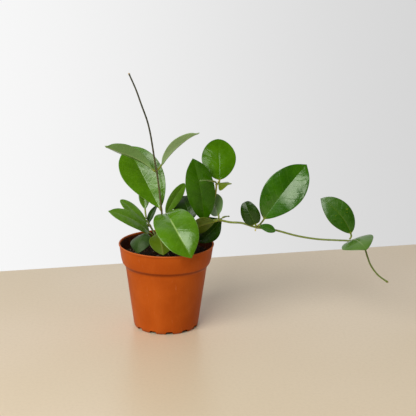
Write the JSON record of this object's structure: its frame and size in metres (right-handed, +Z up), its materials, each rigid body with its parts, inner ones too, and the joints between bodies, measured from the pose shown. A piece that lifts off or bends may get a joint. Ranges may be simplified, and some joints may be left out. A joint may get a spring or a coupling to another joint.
{
  "type": "potted hoya plant",
  "caption": "Young wax plant with thick glossy leaves, an upright bare shoot and a long sideways runner, in a tapered terracotta-coloured plastic nursery pot of peat.",
  "frame": {"origin": "centre of the pot's flat underside, on the surface it stands on", "axes": "+X along the long runner, +Z up, -Y is the front"},
  "size_m": [0.3531, 0.129, 0.3186],
  "materials": {
    "pot_plastic": "satin terracotta-coloured moulded plastic",
    "peat": "rough damp peat",
    "leaf": "waxy gloss",
    "stem": "smooth green bark"
  },
  "bodies": {
    "root": {"leaf_back_left": "leaf", "leaf_dark_narrow": "leaf", "leaf_end_heart": "leaf", "leaf_end_tall": "leaf", "leaf_front": "leaf", "leaf_low_left": "leaf", "leaf_low_left_back": "leaf", "leaf_mid": "leaf", "leaf_mid_dark": "leaf", "leaf_pot_front": "leaf", "leaf_pot_left": "leaf", "leaf_right_olive": "leaf", "leaf_right_round": "leaf", "leaf_right_sliver": "leaf", "leaf_right_tall": "leaf", "leaf_runner_back": "leaf", "leaf_runner_dark": "leaf", "leaf_runner_large": "leaf", "leaf_runner_low": "leaf", "leaf_runner_olive": "leaf", "leaf_runner_rounded": "leaf", "leaf_runner_small": "leaf", "leaf_small_left": "leaf", "leaf_upper_left": "leaf", "leaf_upper_right": "leaf", "pot": "pot_plastic", "soil": "peat", "stem_left": "stem", "stem_right": "stem", "stem_runner": "stem", "stem_upright": "stem"}
  },
  "joints": []
}
